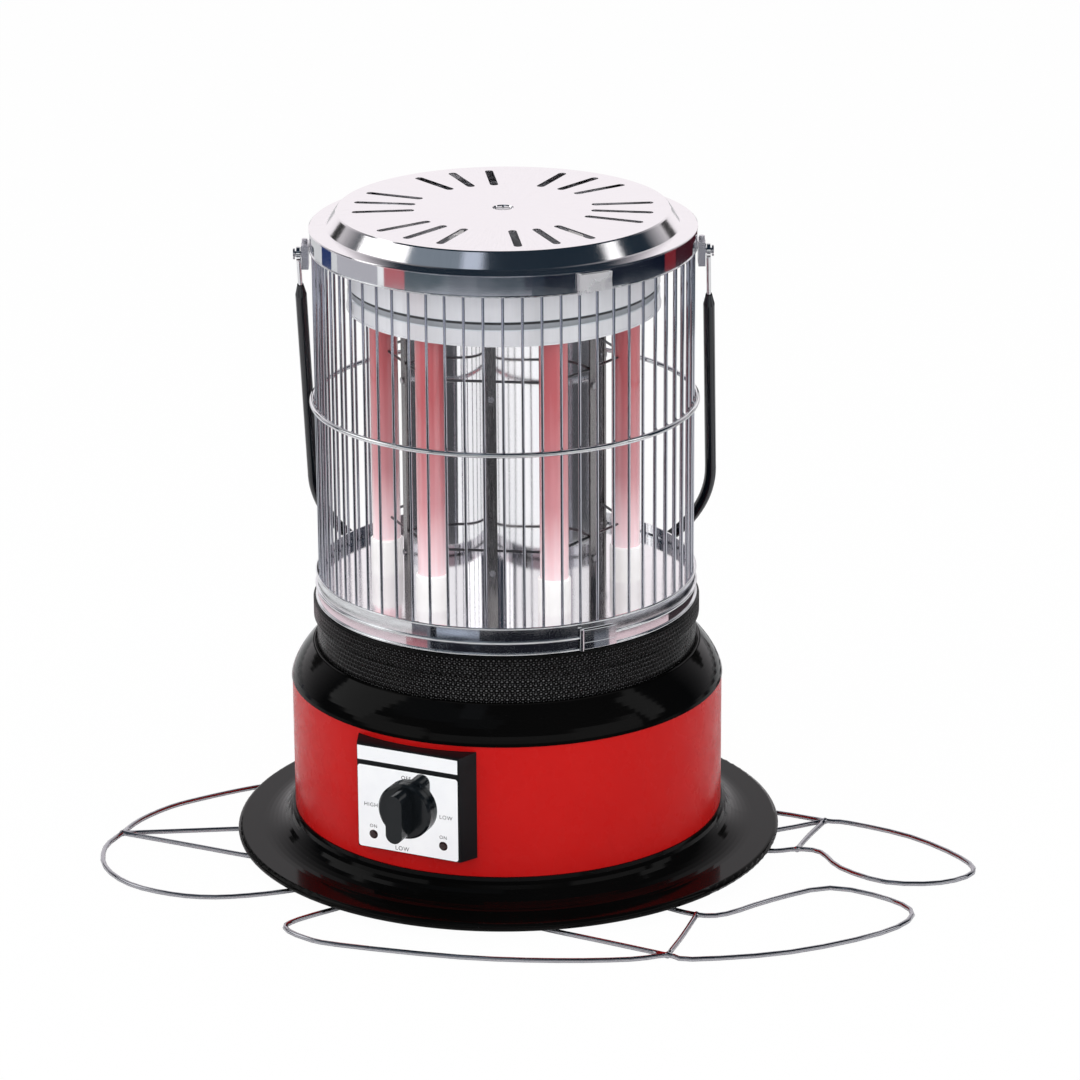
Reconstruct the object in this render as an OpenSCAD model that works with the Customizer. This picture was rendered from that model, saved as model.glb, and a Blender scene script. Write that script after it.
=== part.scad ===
// Round radiant room heater: a red drum on a brimmed base carries a wire cage
// with six quartz tubes that stand round a six-trough parabolic reflector.
// Millimetres. Z is up, the origin is on the axis at floor level,
// and the front of the heater faces -Y. Azimuth 0 is the front and grows towards +X.

/* [Sheet metal] */
// Thickness of the pressed sheets
sheet_t = 1; // [0.8:0.1:1.3]
// Thickness of the red drum's wall
drum_wall = 0.8; // [0.6:0.1:1.2]

/* [Feet and bottom plate] */
// Height of the rubber feet
foot_h = 9.2; // [8:0.2:11]
// Radius of a rubber foot
foot_r = 13; // [11:0.5:15]
// Diameter of the circle that the feet stand on
foot_circle_d = 270; // [260:5:290]
// Radius of the open recess in a foot's sole
foot_recess_r = 6; // [5.5:0.25:7]
// Depth of the open recess in a foot's sole
foot_recess_h = 3; // [2:0.5:3.5]
// Thickness of the bottom plate
plate_t = 1.2; // [1:0.1:1.6]

/* [Skirt] */
// How far the base skirt reaches out past the drum
brim_w = 40.6; // [36:0.2:48]
// Radius of the roll along the skirt's rim
rim_roll_r = 3; // [2:0.1:3]
// Width of the hollow curve between the drum and the flat brim
cove_w = 21.4; // [16:0.5:24]

/* [Drum] */
// Outer radius of the red drum
drum_r = 149.4; // [147:0.5:152]
// Height of the drum's bottom edge above the floor
drum_z = 28.4; // [26:0.2:32]
// Height of the red drum
drum_h = 93.6; // [88:1:100]

/* [Shoulder and neck] */
// Height of the domed shoulder
shoulder_h = 25; // [22:0.5:28]
// Width of the shoulder, from the drum's wall in to the neck's wall
shoulder_w = 18.1; // [16:0.1:20]
// Height of the straight part of the neck above the shoulder
neck_h = 17; // [14:0.5:24]
// Height of the collar on the neck
collar_h = 15.5; // [12:0.5:20]
// How far the collar stands out from the neck
collar_out = 2.2; // [1.5:0.1:3]

/* [Lower rim] */
// Height of the lower chrome rim
rim_h = 20; // [18:0.5:24]
// Height of the tray's underside above the rim's bottom edge
tray_up = 11; // [9:0.5:13]
// Radius of the two beads on the lower rim
bead_r = 1.2; // [0.9:0.1:1.5]

/* [Cage] */
// How far the circle of vertical wires lies inside the neck's wall
cage_in = 2.7; // [2.3:0.1:3.3]
// Radius of a vertical wire
wire_r = 1; // [0.8:0.1:1.2]
// Number of vertical wires
wire_count = 63; // [48:1:72]
// Length of a vertical wire
cage_h = 239.5; // [220:1:260]
// Height of the hoop above the tray
hoop_up = 128.5; // [100:1:150]
// Radius of the hoop's wire
hoop_wire_r = 1.75; // [1.4:0.05:2]

/* [Upper band and cover] */
// Height of the upper chrome band
band_h = 14; // [12:0.5:16]
// How far the wires reach up into the band
band_lap = 3.4; // [2.5:0.2:5]
// Height of the cover's flange above the band
flange_h = 1.6; // [1.4:0.1:2.5]
// Height of the cover's bevel
bevel_h = 10.9; // [9:0.5:13]
// Width of the cover's flange
flange_w = 10.2; // [8:0.2:13]
// Width of the cover's bevel
bevel_w = 7.5; // [6:0.5:10]
// Distance of the cover slots from the edge of the flat disc
slot_margin = 11; // [8:0.5:16]
// Length of a cover slot
slot_l = 42; // [30:1:50]
// Width of a cover slot
slot_w = 5.6; // [3:0.2:7]
// Azimuth of the first group's middle slot
slot_turn = 20.5; // [0:0.5:59]
// Angle between the slots of one group
slot_step = 15; // [10:0.5:18]

/* [Upper drum] */
// How far the grey upper drum lies inside the circle of wires
upper_in = 22.6; // [20:0.2:26]
// Height of the upper drum below its flange
upper_h = 42.5; // [38:0.5:50]
// Height of the pressed groove's middle above the upper drum's lower edge
groove_up = 13.3; // [10:0.1:16]
// Width of the pressed groove
groove_w = 5.4; // [4:0.1:6]
// Depth of the pressed groove
groove_d = 0.6; // [0.4:0.05:0.6]
// Height of the lamp plate above the upper drum's lower edge
lamp_plate_up = 27.5; // [24:0.5:32]

/* [Lamps] */
// Radius of the circle that the quartz tubes stand on
lamp_circle_r = 83; // [81:0.5:86]
// Azimuth of the first tube
lamp_turn = 23; // [0:1:59]
// Outer radius of a quartz tube
tube_r = 9.75; // [8.5:0.25:11]
// Wall of a quartz tube
tube_wall = 1.3; // [1:0.1:1.6]
// Wall of a ceramic cap round its tube
cap_wall = 1.3; // [1.1:0.1:2.4]
// Height of a lower ceramic cap
cap_h = 25; // [16:0.5:30]
// Height of an upper ceramic cap
upper_cap_h = 15; // [12:0.5:20]
// Radius of the terminal stem of a cap
stem_r = 5; // [4:0.25:6]
// Radius of a heating element
element_r = 3; // [2:0.25:4]
// Radius of the wires that tie neighbouring tubes
tie_r = 0.9; // [0.7:0.1:0.9]
// Height of the lower tie wires above the tray
tie_low = 42; // [38:1:60]
// Height of the upper tie wires above the tray
tie_high = 161; // [160:1:170]

/* [Reflector] */
// Distance of the cusps between the troughs from the axis
cusp_r = 73; // [70:0.5:74]
// Distance of a trough's bottom line from the axis
vertex_r = 52.3; // [48:0.5:56]
// Thickness of the reflector sheet
reflector_t = 0.8; // [0.6:0.1:1.2]
// Width of the flat strip that covers a cusp
strip_w = 6.6; // [5:0.2:8]
// Thickness of a cusp strip
strip_t = 1.4; // [1:0.1:2]
// Height of the lower strip screws above the tray
strip_screw_low = 27; // [20:1:35]
// Height of the upper strip screws above the tray
strip_screw_high = 149.5; // [120:0.5:155]

/* [Tie rod] */
// Radius of the centre tie rod
rod_r = 3; // [2.5:0.25:4]
// Radius of the head of the centre screw
screw_head_r = 5; // [4.5:0.25:6.5]

/* [Handle] */
// Height of the handle pivot below the band's lower edge
pivot_drop = 4.6; // [3:0.2:7]
// Distance of the handle wire from the band's wall
handle_out = 7.7; // [7.2:0.1:8.6]
// Distance from the pivot to the middle of the handle's crossbar
handle_l = 305; // [303:0.5:308]
// Radius of the bends at the crossbar
handle_bend_r = 95; // [70:1:110]
// How far the left arm has been bent to the right at the crossbar
left_bent = 3.2; // [0:0.2:5]
// How far the right arm has been bent to the right at the crossbar
right_bent = 10.4; // [0:0.2:12]
// Angle that the stored handle leans back from vertical
handle_lean = 27; // [26.8:0.1:28]
// Radius of the handle wire
handle_wire_r = 1.6; // [1.4:0.1:1.8]
// Outer radius of the handle's sleeve
sleeve_r = 4; // [3.2:0.1:4.2]
// Distance from the pivots to the ends of the sleeve, if it sat evenly
sleeve_start = 34; // [30:1:60]
// How far the sleeve has slid round towards the left pivot
sleeve_slid = 6; // [0:0.5:8]
// Length of the sleeve's tapered ends
sleeve_taper = 9; // [5:0.5:14]
// Radius of the pivot pin
pivot_pin_r = 2; // [1.75:0.05:2.2]

/* [Control panel] */
// Azimuth that the control panel faces
panel_az = -25.1; // [-60:0.1:60]
// How far the middle of the housing's front stands out from the drum
panel_out = 8; // [5:0.1:10]
// Width of the housing's front
panel_w = 76; // [74:0.2:84]
// Height of the housing's front
panel_h = 74.5; // [72:0.5:76]
// Height of the housing's lower front edge above the floor
panel_z = 43; // [40:0.5:44]
// How much the housing's two sides spread for every 10 mm towards the drum
panel_draft = 4; // [1:0.2:5]
// How much the housing's top and bottom spread for every 10 mm towards the drum
panel_rise = 0.6; // [0:0.1:1.5]
// Height of the bare top strip
strip_h = 11; // [9:0.5:13]
// Gap between the bare strip and the panel
strip_gap = 2.6; // [2:0.2:4]
// Width of the black border round the panel
border_w = 0.9; // [0.6:0.1:2]

/* [Knob] */
// Height of the knob's centre above the middle of the white panel
knob_up = 2.6; // [0:0.2:4]
// Radius of the knob's round base
knob_r = 19.5; // [18:0.5:22]
// Thickness of the knob's round base
knob_base_h = 6; // [4:0.5:8]
// Length of the knob's bar grip
grip_l = 34; // [30:0.5:36]
// Width of the knob's bar grip
grip_w = 12; // [10:0.5:14]
// Height of the bar grip above the round base
grip_h = 15.4; // [12:0.2:18]
// Radius of the switch shaft
shaft_r = 3; // [2.5:0.25:3.5]

/* [Outriggers] */
// Radius of the outrigger wire
rig_r = 1.75; // [1.5:0.05:2]

/* [Cord gland] */
// Radius of the gland's bore
gland_bore_r = 3.6; // [3:0.1:4.2]
// Height of the gland above the floor
gland_z = 52; // [45:1:80]

/* [Hidden] */
$fn = 96;

lamps = 6;
// Least cut past a face, so that a hole goes right through
eps = 1;
// Gap between pieces that must not touch
gap = 0.3;
// Radial play of a pin or shaft in its hole
play = 0.06;

// Stack of heights, from the floor up
plate_z = foot_h;
brim_z = plate_z + plate_t + sheet_t;
rim_roll_z = brim_z - rim_roll_r;
shoulder_z = drum_z + drum_h;
shoulder_top = shoulder_z + shoulder_h;
ledge_drop = 5;
neck_z = shoulder_top - ledge_drop;
collar_z = shoulder_top + neck_h;
collar_top = collar_z + collar_h;
rim_z = collar_top;
tray_z = rim_z + tray_up;
tray_top = tray_z + sheet_t;
wire_z = tray_z;
wire_top = wire_z + cage_h;
hoop_z = tray_top + hoop_up;
band_z = wire_top - band_lap;
band_top = band_z + band_h;
flange_z = band_top + flange_h;
disc_z = flange_z + bevel_h;
upper_flange_z = wire_top - sheet_t;
upper_z = upper_flange_z - upper_h;
lamp_plate_z = upper_z + lamp_plate_up;
pivot_z = band_z - pivot_drop;

// Radii, from the drum in to the cage
skirt_r = drum_r + brim_w;
neck_r = drum_r - shoulder_w;
cage_r = neck_r - cage_in;
upper_r = cage_r - upper_in;
panel_d = drum_r + panel_out;
wire_ledge_r = cage_r - 7.3;
rim_in_r = cage_r + wire_r + 0.1;
rim_out_r = rim_in_r + sheet_t;
tray_r = cage_r - wire_r - 1.2;
hoop_r = cage_r + wire_r + hoop_wire_r + 0.05;
cove_r = drum_r + 1.2;
brim_in_r = cove_r + cove_w;
rim_roll_in = skirt_r - rim_roll_r;
flange_in_w = 10;
shoulder_lip = 0.5;
shoulder_in_r = neck_r + 0.4;
ledge_in_r = neck_r - sheet_t - 4;
cap_r = tube_r + play + cap_wall;
bevel_r = rim_out_r - flange_w;
disc_r = bevel_r - bevel_w;
slot_r1 = disc_r - slot_margin;
slot_r0 = slot_r1 - slot_l;
handle_x = rim_out_r + handle_out;
dimple_r = screw_head_r + 1;
dimple_d = 2.4;

// Points of a quadratic curve from a to c, drawn towards b
function bend(a, b, c, n) = [for (i = [0 : n]) let (t = i / n)
    (1 - t) * (1 - t) * a + 2 * t * (1 - t) * b + t * t * c];
function reversed(p) = [for (i = [len(p) - 1 : -1 : 0]) p[i]];
function shifted(p, d) = [for (q = p) q + d];

// Puts the children at an azimuth and a distance from the axis
module at(az, r) {
    rotate([0, 0, az]) translate([0, -r, 0]) children();
}
// A flat ring
module ring(r_in, r_out, z, h) {
    translate([0, 0, z]) difference() {
        cylinder(r = r_out, h = h);
        translate([0, 0, -eps]) cylinder(r = r_in, h = h + 2 * eps);
    }
}
// A profile of radius and height turned about the axis
module turned(points) {
    rotate_extrude($fn = 128) polygon(points);
}

// ---------- base ----------
module base_skirt() {
    outer = [for (i = [0 : 10]) let (t = 9 * i)
        [brim_in_r - cove_w * cos(t), drum_z - (drum_z - brim_z) * sin(t)]];
    inner = [for (i = [0 : 10]) let (t = 9 * i)
        [brim_in_r - sheet_t - (cove_w) * cos(t),
         drum_z - sheet_t - (drum_z - brim_z) * sin(t)]];
    color([0.03, 0.03, 0.03]) union() {
        turned(concat([[drum_r - flange_in_w, drum_z - sheet_t], [drum_r - flange_in_w, drum_z]],
            outer, [[rim_roll_in, brim_z], [rim_roll_in, brim_z - sheet_t]],
            reversed(inner)));
        rotate_extrude($fn = 128) translate([rim_roll_in, rim_roll_z]) circle(r = rim_roll_r, $fn = 32);
    }
}
module bottom_plate() {
    color([0.35, 0.36, 0.37]) difference() {
        translate([0, 0, plate_z]) cylinder(r = rim_roll_in - rim_roll_r - gap, h = plate_t);
        for (a = [45 : 90 : 315])
            at(a, foot_circle_d / 2) translate([0, 0, plate_z - eps])
                cylinder(r = foot_hole_r, h = plate_t + 2 * eps, $fn = 24);
        translate([0, 0, plate_z - eps]) cylinder(r = rod_r + play, h = plate_t + 2 * eps, $fn = 32);
    }
}
foot_hole_r = 2.1;
foot_head_h = 3;
module rubber_feet() {
    color([0.05, 0.05, 0.05]) for (a = [45 : 90 : 315]) at(a, foot_circle_d / 2) difference() {
        cylinder(r1 = foot_r - 1.5, r2 = foot_r, h = foot_h, $fn = 48);
        translate([0, 0, -eps]) cylinder(r = foot_recess_r, h = foot_recess_h + eps, $fn = 32);
        cylinder(r = foot_recess_r - 1, h = foot_recess_h + foot_head_h, $fn = 32);
        cylinder(r = foot_hole_r, h = foot_h + eps, $fn = 24);
    }
}
module foot_screws() {
    nut_h = 3;
    color([0.7, 0.7, 0.72]) for (a = [45 : 90 : 315]) at(a, foot_circle_d / 2) {
        translate([0, 0, foot_recess_h + gap])
            cylinder(r = foot_recess_r - 1.4, h = foot_head_h - gap, $fn = 32);
        translate([0, 0, foot_recess_h + 1])
            cylinder(r = foot_hole_r - play, h = plate_z + plate_t + nut_h - foot_recess_h, $fn = 24);
        translate([0, 0, plate_z + plate_t]) cylinder(r = foot_hole_r + 2, h = nut_h, $fn = 6);
    }
}
// How far the parts on the bottom plate sit inside the drum's wall
switch_in = 79.4;
block_in = 89.4;
module tip_over_switch() {
    color([0.9, 0.9, 0.86]) rotate([0, 0, 100]) translate([drum_r - switch_in, -14, plate_z + plate_t]) {
        cube([22, 28, 24]);
        translate([-6, 8, 0]) cube([34, 12, 2]);
    }
}
module terminal_block() {
    color([0.92, 0.9, 0.84]) rotate([0, 0, 190])
        translate([drum_r - block_in, -26, plate_z + plate_t]) difference() {
        cube([18, 52, 16]);
        for (i = [0 : 4]) translate([9, 6 + 10 * i, 6]) cylinder(r = 2.4, h = 16, $fn = 24);
    }
}

// ---------- outriggers ----------
// Wires of each outrigger, as [outwards from the skirt's rim, sideways]. They start and
// end in saddle clips under the skirt, apart from the ends at a welded node.
left_node = [82, -4];
left_outer = [[-45, 92], [-20, 84], [3, 74], [31, 58], [52, 43], [71, 20], left_node, [92, -30],
    [89, -64], [70, -94], [40, -112], [10, -118], [-24, -113], [-55, -103]];
left_strut_a = [left_node, [40, -1], [-1, 2], [-25, 3]];
left_strut_b = [left_node, [35, -26], [-9, -47], [-30, -55]];

front_node = [30, 104];
front_inner = [-35, 126];
front_outer = [[-68, -98], [-57, -108], [-34, -141], [-20, -150], [-3, -136], [9, -112], [30, -33],
    [37, 30], [36, 80], front_node, [37, 120], [27, 185], [-2, 247], [-31, 271], [-57, 258],
    [-78, 219], [-58, 177], [-36, 146], front_inner, [-52, 100], [-62, 88]];
front_strut_a = [front_node, [9, 66], [-12, 27], [-31, -5]];
front_strut_b = [front_node, [0, 115], front_inner];

right_node = [34, 6.5];
right_inner = [11, -44];
right_outer = [[-25, 27], [1, 22], right_node, [51, 2], [92, -24], [123, -62], [129, -88],
    [105, -105], [68, -103], [39, -78], [27, -50], right_inner, [-5, -47], [-25, -44]];
right_strut_a = [right_node, [0, -9], [-25, -14]];
right_strut_b = [right_node, [21, -20], right_inner];

// A smooth curve through the points, with n steps between neighbours
function through(p, n) = concat([for (i = [0 : len(p) - 2], j = [0 : n - 1])
    let (a = p[max(i - 1, 0)], b = p[i], c = p[i + 1], d = p[min(i + 2, len(p) - 1)], t = j / n)
    0.5 * (2 * b + (c - a) * t + (2 * a - 5 * b + 4 * c - d) * t * t
        + (3 * b - a - 3 * c + d) * t * t * t)], [p[len(p) - 1]]);
// Direction of a flat path at its point i
function heading(p, i) = let (d = p[min(i + 1, len(p) - 1)] - p[max(i - 1, 0)]) atan2(d[1], d[0]);
rig_sides = 8;
rig_steps = 3;
rig_z = gap + rig_r;
// A round wire along a flat path
module rig_wire(p) {
    path = through(p, rig_steps);
    points = [for (i = [0 : len(path) - 1], s = [0 : rig_sides - 1])
        let (h = heading(path, i), a = 360 * s / rig_sides)
        [path[i][0] - sin(h) * rig_r * cos(a), path[i][1] + cos(h) * rig_r * cos(a), rig_r * sin(a)]];
    last = (len(path) - 1) * rig_sides;
    sides = [for (i = [0 : len(path) - 2], s = [0 : rig_sides - 1])
        let (a = i * rig_sides + s, b = i * rig_sides + (s + 1) % rig_sides)
        for (f = [[a, a + rig_sides, b], [b, a + rig_sides, b + rig_sides]]) f];
    caps = [[for (s = [0 : rig_sides - 1]) s], [for (s = [rig_sides - 1 : -1 : 0]) last + s]];
    polyhedron(points, concat(sides, caps));
}
// Turns [outwards, sideways] at the rim into the heater's own frame
module at_rim(side) {
    rotate([0, 0, side]) translate([skirt_r, 0, rig_z]) children();
}
left_side = 180;
front_side = -90;
right_side = 0;
module outrigger(side, wires, knots) {
    color([0.8, 0.81, 0.83]) at_rim(side) union() {
        for (w = wires) rig_wire(w);
        for (k = knots) translate([k[0], k[1], 0]) sphere(r = rig_r + 0.6, $fn = 12);
    }
}
function flip(p) = [for (q = p) [q[0], -q[1]]];
module outrigger_left() {
    outrigger(left_side, [flip(left_outer), flip(left_strut_a), flip(left_strut_b)], flip([left_node]));
}
module outrigger_front() {
    outrigger(front_side, [front_outer, front_strut_a, front_strut_b], [front_node, front_inner]);
}
module outrigger_right() {
    outrigger(right_side, [right_outer, right_strut_a, right_strut_b], [right_node, right_inner]);
}
clip_l = 12;
clip_w = 9;
// Saddle clip over the end of a wire, between the wire and the bottom plate
module clip(side, p, i) {
    at_rim(side) translate([p[i][0], p[i][1], 0]) rotate([0, 0, heading(p, i)]) difference() {
        translate([-clip_l / 2, -clip_w / 2, -rig_r]) cube([clip_l, clip_w, plate_z - gap]);
        translate([-clip_l, 0, 0]) rotate([0, 90, 0]) cylinder(r = rig_r + 0.35, h = 2 * clip_l, $fn = 24);
        translate([-clip_l, -0.8 * rig_r, -clip_l]) cube([2 * clip_l, 1.6 * rig_r, clip_l]);
    }
}
module outrigger_clips() {
    color([0.3, 0.3, 0.31]) {
        for (w = [left_outer, left_strut_a, left_strut_b]) clip(left_side, flip(w), len(w) - 1);
        clip(left_side, flip(left_outer), 0);
        for (w = [front_outer, front_strut_a]) clip(front_side, w, len(w) - 1);
        clip(front_side, front_outer, 0);
        for (w = [right_outer, right_strut_a]) clip(right_side, w, len(w) - 1);
        clip(right_side, right_outer, 0);
    }
}

// ---------- drum, shoulder, neck ----------
window_w = 60;
window_h = 62;
gland_r = 7;
module base_drum() {
    color([0.75, 0.09, 0.09]) difference() {
        ring(drum_r - drum_wall, drum_r, drum_z, drum_h);
        rotate([0, 0, panel_az]) translate([-window_w / 2, -drum_r - 5, panel_z + (panel_h - window_h)
            / 2]) cube([window_w, 30, window_h]);
        at(180, drum_r - 6) translate([0, 0, gland_z]) rotate([90, 0, 0])
            cylinder(r = gland_r, h = 12, $fn = 48);
    }
}
module shoulder_cover() {
    dome_out = bend([drum_r + shoulder_lip, shoulder_z], [drum_r - 1.6, shoulder_z + 0.42 * shoulder_h],
        [neck_r + 3.2, shoulder_top - 0.6], 10);
    dome_in = shifted(bend([drum_r + shoulder_lip, shoulder_z],
        [drum_r - 1.6, shoulder_z + 0.42 * shoulder_h],
        [neck_r + 3.2, shoulder_top - 0.6], 10), [-sheet_t - 0.6, -sheet_t]);
    color([0.03, 0.03, 0.03]) union() {
        // dome, groove and lip round the neck, and the ledge that carries the neck
        turned(concat(dome_out,
            [[neck_r + 2.9, shoulder_top - 1.2], [neck_r + 2.6, shoulder_top - 0.3],
                [neck_r + 1.9, shoulder_top],
             [shoulder_in_r, shoulder_top - 0.3], [shoulder_in_r, neck_z], [ledge_in_r, neck_z],
                 [ledge_in_r, neck_z - sheet_t],
             [shoulder_in_r + sheet_t, neck_z - sheet_t]],
            [for (q = reversed(dome_in)) if (q[0] > shoulder_in_r + sheet_t && q[1] >= shoulder_z) q],
            [[drum_r - drum_wall, shoulder_z]]));
        // lip inside the drum
        ring(drum_r - drum_wall - 0.1 - sheet_t, drum_r - drum_wall - 0.1, shoulder_z - 8, 8 + sheet_t);
    }
}
module neck_grille() {
    flare = 3;
    color([0.04, 0.04, 0.04]) turned([[neck_r - sheet_t, neck_z], [neck_r, neck_z], [neck_r, collar_z],
        [neck_r + collar_out, collar_z + flare], [neck_r + collar_out, collar_top - 1.4],
        [neck_r + collar_out - 1, collar_top], [neck_r - 5, collar_top], [neck_r - 5, collar_top - sheet_t],
        [neck_r + collar_out - sheet_t - 0.8, collar_top - sheet_t],
        [neck_r + collar_out - sheet_t, collar_top - 2.2],
            [neck_r + collar_out - sheet_t, collar_z + flare + 0.6],
        [neck_r - sheet_t, collar_z + 0.6]]);
}

// ---------- tray, cage and upper band ----------
module lower_rim() {
    color([0.85, 0.86, 0.88]) union() {
        ring(rim_in_r, rim_out_r, rim_z, rim_h);
        ring(wire_ledge_r, rim_in_r + 0.2, tray_z - sheet_t, sheet_t);
        for (z = [bead_r, rim_h / 2 - 0.5])
            rotate_extrude($fn = 128) translate([rim_out_r, rim_z + z]) circle(r = bead_r, $fn = 24);
        rotate_extrude($fn = 128) translate([rim_out_r, rim_z + rim_h - 0.8]) circle(r = 0.8, $fn = 24);
    }
}
strap_az = 22.2;
strap_l = 26;
// A bent end of sheet that laps over a ring, with a rounded turned-back edge
module lap(az, r, z, h, l) {
    half = 90 * l / (PI * r);
    rotate([0, 0, az]) union() {
        rotate([0, 0, -90]) translate([0, 0, z]) difference() {
            rotate_extrude(angle = 2 * half, $fn = 128) translate([r, 0]) square([sheet_t, h]);
            translate([0, 0, h / 3]) rotate_extrude(angle = 2 * half, $fn = 128) translate([r + 0.6, 0])
                square([sheet_t, h / 3]);
        }
        translate([0, -r - 0.4, z - 1]) cylinder(r = 1.5, h = h + 2, $fn = 24);
    }
}
module lower_rim_strap() {
    clear_r = rim_out_r + bead_r + 0.1;
    color([0.85, 0.86, 0.88]) difference() {
        lap(strap_az, clear_r, rim_z + 1.6, rim_h - 7, strap_l);
        translate([0, 0, rim_z - 5]) cylinder(r = clear_r - 0.05, h = rim_h + 10);
    }
}
module reflector_tray() {
    color([0.88, 0.88, 0.9]) difference() {
        union() {
            translate([0, 0, tray_z]) cylinder(r = tray_r, h = sheet_t);
            ring(wire_ledge_r - gap - 1, wire_ledge_r - gap, tray_z - 4, 4.5);
        }
        ring(wire_ledge_r, rim_in_r + 1, tray_z - sheet_t - 4, sheet_t + 4);
        for (i = [0 : lamps - 1]) at(lamp_turn + 60 * i, lamp_circle_r)
            translate([0, 0, tray_z - eps]) cylinder(r = stem_r + gap, h = sheet_t + 2 * eps, $fn = 32);
        translate([0, 0, tray_z - eps]) cylinder(r = rod_r + gap, h = sheet_t + 2 * eps, $fn = 32);
    }
}
module cage_wires() {
    color([0.8, 0.81, 0.83]) for (i = [0 : wire_count - 1])
        at(-0.4 + 360 * i / wire_count, cage_r) translate([0, 0, wire_z])
            cylinder(r = wire_r, h = cage_h, $fn = 16);
}
module cage_hoop() {
    color([0.8, 0.81, 0.83]) rotate_extrude($fn = 128)
        translate([hoop_r, hoop_z]) circle(r = hoop_wire_r, $fn = 24);
}
module top_band() {
    color([0.85, 0.86, 0.88]) union() {
        ring(rim_in_r, rim_out_r, band_z, band_h);
        ring(upper_r + 2, rim_in_r + 0.2, wire_top, sheet_t);
        rotate_extrude($fn = 128) translate([rim_out_r, band_z + 0.8]) circle(r = 0.6, $fn = 24);
    }
}
module top_band_clip() {
    clear_r = rim_out_r + 0.7;
    color([0.85, 0.86, 0.88]) difference() {
        lap(21.8, clear_r, band_z + 0.5, band_h - 2, 24);
        translate([0, 0, band_z - 5]) cylinder(r = clear_r - 0.05, h = band_h + 10);
    }
}
module top_cover() {
    edge_r = rim_out_r + 0.5;
    color([0.88, 0.88, 0.9]) difference() {
        union() {
            turned([[0, disc_z - dimple_d], [dimple_r, disc_z - dimple_d], [dimple_r + 1.2, disc_z],
                [disc_r - 0.8, disc_z], [disc_r, disc_z - 0.8], [bevel_r - 0.6, flange_z + 0.5],
                [bevel_r + 0.4, flange_z], [edge_r - 0.6, flange_z - 0.3], [edge_r, flange_z - 0.9],
                    [edge_r, band_top],
                [rim_in_r, band_top], [rim_in_r, flange_z - sheet_t - 0.3],
                    [bevel_r - 0.6, flange_z - sheet_t],
                [disc_r - sheet_t - 0.8, disc_z - sheet_t], [dimple_r + 1.2 + sheet_t, disc_z - sheet_t],
                [dimple_r + sheet_t, disc_z - dimple_d - sheet_t], [0, disc_z - dimple_d - sheet_t]]);
        }
        for (g = [0 : 5], s = [-1 : 1]) rotate([0, 0, slot_turn + 60 * g + slot_step * s])
            translate([0, 0, disc_z - 2 * sheet_t]) {
                translate([-slot_w / 2, -slot_r1 + slot_w / 2, 0])
                    cube([slot_w, slot_r1 - slot_r0 - slot_w, 4 * sheet_t]);
                translate([0, -slot_r1 + slot_w / 2, 0])
                    cylinder(r = slot_w / 2, h = 4 * sheet_t, $fn = 24);
                translate([0, -slot_r0 - slot_w / 2, 0])
                    cylinder(r = slot_w / 2, h = 4 * sheet_t, $fn = 24);
            }
        translate([0, 0, disc_z - 4 * sheet_t - dimple_d])
            cylinder(r = rod_r + gap, h = 8 * sheet_t, $fn = 32);
    }
}
module centre_screw() {
    head_h = 2.2;
    color([0.7, 0.7, 0.72]) translate([0, 0, disc_z - dimple_d]) difference() {
        cylinder(r = screw_head_r, h = head_h, $fn = 32);
        translate([-screw_head_r, -0.6, head_h - 1]) cube([2 * screw_head_r, 1.2, 2]);
        translate([-0.6, -screw_head_r, head_h - 1]) cube([1.2, 2 * screw_head_r, 2]);
    }
}
module tie_rod() {
    color([0.6, 0.6, 0.62]) union() {
        translate([0, 0, plate_z - 4]) cylinder(r = rod_r, h = disc_z - dimple_d - plate_z + 4, $fn = 32);
        translate([0, 0, plate_z - 4]) cylinder(r = rod_r + 2.5, h = 4, $fn = 6);
    }
}
module upper_drum() {
    color([0.8, 0.81, 0.82]) difference() {
        union() {
            ring(upper_r - sheet_t, upper_r, upper_z, upper_h + sheet_t);
            ring(upper_r - sheet_t, upper_r + 10, upper_flange_z, sheet_t);
            ring(upper_r - 0.5, upper_r + 0.7, upper_z, 1.2);
        }
        // its two walls slope at 45 degrees
        rotate_extrude($fn = 128) translate([upper_r, upper_z + groove_up])
            polygon([[-groove_d, groove_d - groove_w / 2], [2, -2 - groove_w / 2],
                [2, 2 + groove_w / 2], [-groove_d, groove_w / 2 - groove_d]]);
    }
}
module lamp_plate() {
    color([0.75, 0.76, 0.78]) translate([0, 0, lamp_plate_z]) difference() {
        cylinder(r = upper_r - sheet_t - 0.1, h = plate_t);
        for (i = [0 : lamps - 1]) at(lamp_turn + 60 * i, lamp_circle_r)
            translate([0, 0, -eps]) cylinder(r = stem_r + gap, h = plate_t + 2 * eps, $fn = 32);
        translate([0, 0, -eps]) cylinder(r = rod_r + gap, h = plate_t + 2 * eps, $fn = 32);
    }
}

// ---------- handle ----------
ear_w = 16;
ear_up = 7.5;
ear_down = 9;
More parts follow.
